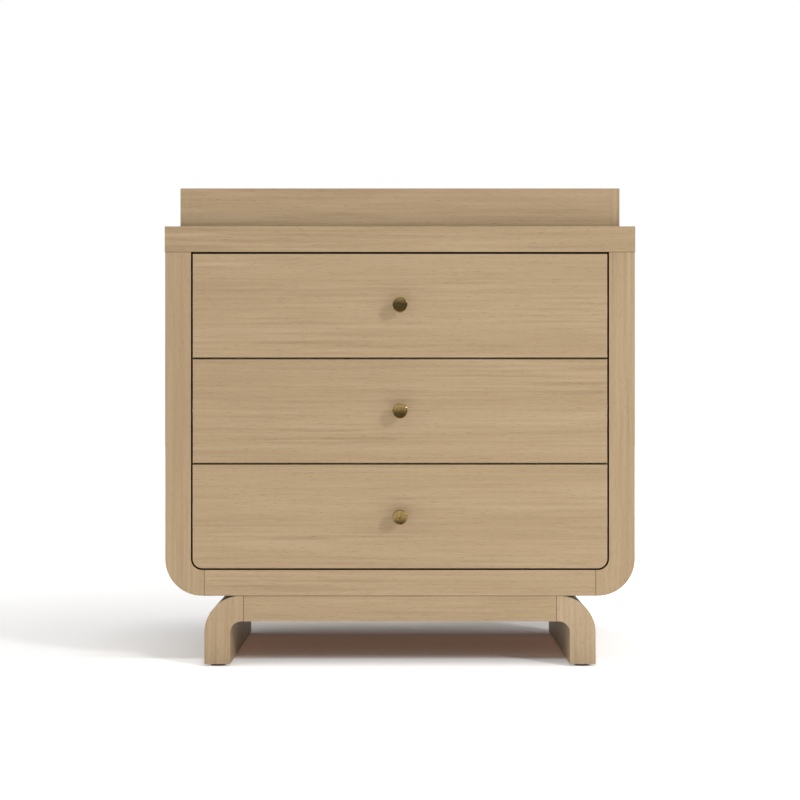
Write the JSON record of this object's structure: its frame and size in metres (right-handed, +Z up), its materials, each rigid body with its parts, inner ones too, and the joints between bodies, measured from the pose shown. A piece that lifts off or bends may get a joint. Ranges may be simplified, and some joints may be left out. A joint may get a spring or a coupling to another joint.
{
  "type": "changing table",
  "caption": "Nursery dresser with inset drawers on ball-bearing slides, rounded lower case corners, a bent-leg base and a lift-off changing tray that takes a standard pad.",
  "frame": {"origin": "on the floor, at the middle of the overall box in x and y", "axes": "+Z up, the drawer fronts face -Y, +X is to the right of a viewer in front"},
  "size_m": [0.9144, 0.5244, 0.9325],
  "materials": {
    "oak": "pale oak veneer, clear matt lacquer",
    "oak_panel": "pale oak veneered panel, clear matt lacquer",
    "plywood": "birch plywood, clear matt lacquer",
    "plain_wood": "unfinished beech",
    "zinc_steel": "zinc plated",
    "antique_brass": "darkened antique brass, satin",
    "brown_plastic": "dark brown moulded plastic, matt"
  },
  "bodies": {
    "cabinet": {"top_panel": "oak", "left_side_panel": "oak", "right_side_panel": "oak", "bottom_panel": "oak", "back_panel": "plywood", "upper_divider_rail": "plain_wood", "lower_divider_rail": "plain_wood", "cabinet_slide_members": "zinc_steel", "slide_screws": "zinc_steel", "tray_retaining_screws": "zinc_steel", "dowels": "plain_wood", "left_leg_panel": "oak", "right_leg_panel": "oak", "base_front_rail": "oak", "base_back_rail": "oak", "corner_blocks": "plain_wood", "base_bolts": "zinc_steel", "foot_glides": "brown_plastic"},
    "changing_tray": {"tray_front_rail": "oak", "tray_back_rail": "oak", "tray_left_rail": "oak", "tray_right_rail": "oak", "tray_bottom_panel": "oak_panel", "tray_brackets": "zinc_steel", "tray_bracket_screws": "zinc_steel"},
    "bottom_drawer": {"bottom_drawer_front": "oak", "bottom_drawer_box_front": "plywood", "bottom_drawer_left_side": "plywood", "bottom_drawer_right_side": "plywood", "bottom_drawer_back": "plywood", "bottom_drawer_bottom": "plywood", "bottom_drawer_knob": "antique_brass", "bottom_drawer_knob_screw": "zinc_steel", "bottom_drawer_slide_members": "zinc_steel"},
    "bottom_slide_middles": {"bottom_middle_members": "zinc_steel"},
    "middle_drawer": {"middle_drawer_front": "oak", "middle_drawer_box_front": "plywood", "middle_drawer_left_side": "plywood", "middle_drawer_right_side": "plywood", "middle_drawer_back": "plywood", "middle_drawer_bottom": "plywood", "middle_drawer_knob": "antique_brass", "middle_drawer_knob_screw": "zinc_steel", "middle_drawer_slide_members": "zinc_steel"},
    "middle_slide_middles": {"middle_middle_members": "zinc_steel"},
    "top_drawer": {"top_drawer_front": "oak", "top_drawer_box_front": "plywood", "top_drawer_left_side": "plywood", "top_drawer_right_side": "plywood", "top_drawer_back": "plywood", "top_drawer_bottom": "plywood", "top_drawer_knob": "antique_brass", "top_drawer_knob_screw": "zinc_steel", "top_drawer_slide_members": "zinc_steel"},
    "top_slide_middles": {"top_middle_members": "zinc_steel"}
  },
  "joints": [
    {"name": "tray_lift", "type": "slide", "parent": "cabinet", "child": "changing_tray", "axis": [0, 0, 1], "range_m": [0, 0.12]},
    {"name": "bottom_drawer_slide", "type": "slide", "parent": "cabinet", "child": "bottom_drawer", "axis": [0, -1, 0], "range_m": [0, 0.38]},
    {"name": "bottom_middles_slide", "type": "slide", "parent": "cabinet", "child": "bottom_slide_middles", "axis": [0, -1, 0], "range_m": [0, 0.19]},
    {"name": "middle_drawer_slide", "type": "slide", "parent": "cabinet", "child": "middle_drawer", "axis": [0, -1, 0], "range_m": [0, 0.38]},
    {"name": "middle_middles_slide", "type": "slide", "parent": "cabinet", "child": "middle_slide_middles", "axis": [0, -1, 0], "range_m": [0, 0.19]},
    {"name": "top_drawer_slide", "type": "slide", "parent": "cabinet", "child": "top_drawer", "axis": [0, -1, 0], "range_m": [0, 0.38]},
    {"name": "top_middles_slide", "type": "slide", "parent": "cabinet", "child": "top_slide_middles", "axis": [0, -1, 0], "range_m": [0, 0.19]}
  ],
  "couplings": [
    {"joint": "bottom_middles_slide", "follows": "bottom_drawer_slide", "ratio": 0.5},
    {"joint": "middle_middles_slide", "follows": "middle_drawer_slide", "ratio": 0.5},
    {"joint": "top_middles_slide", "follows": "top_drawer_slide", "ratio": 0.5}
  ]
}
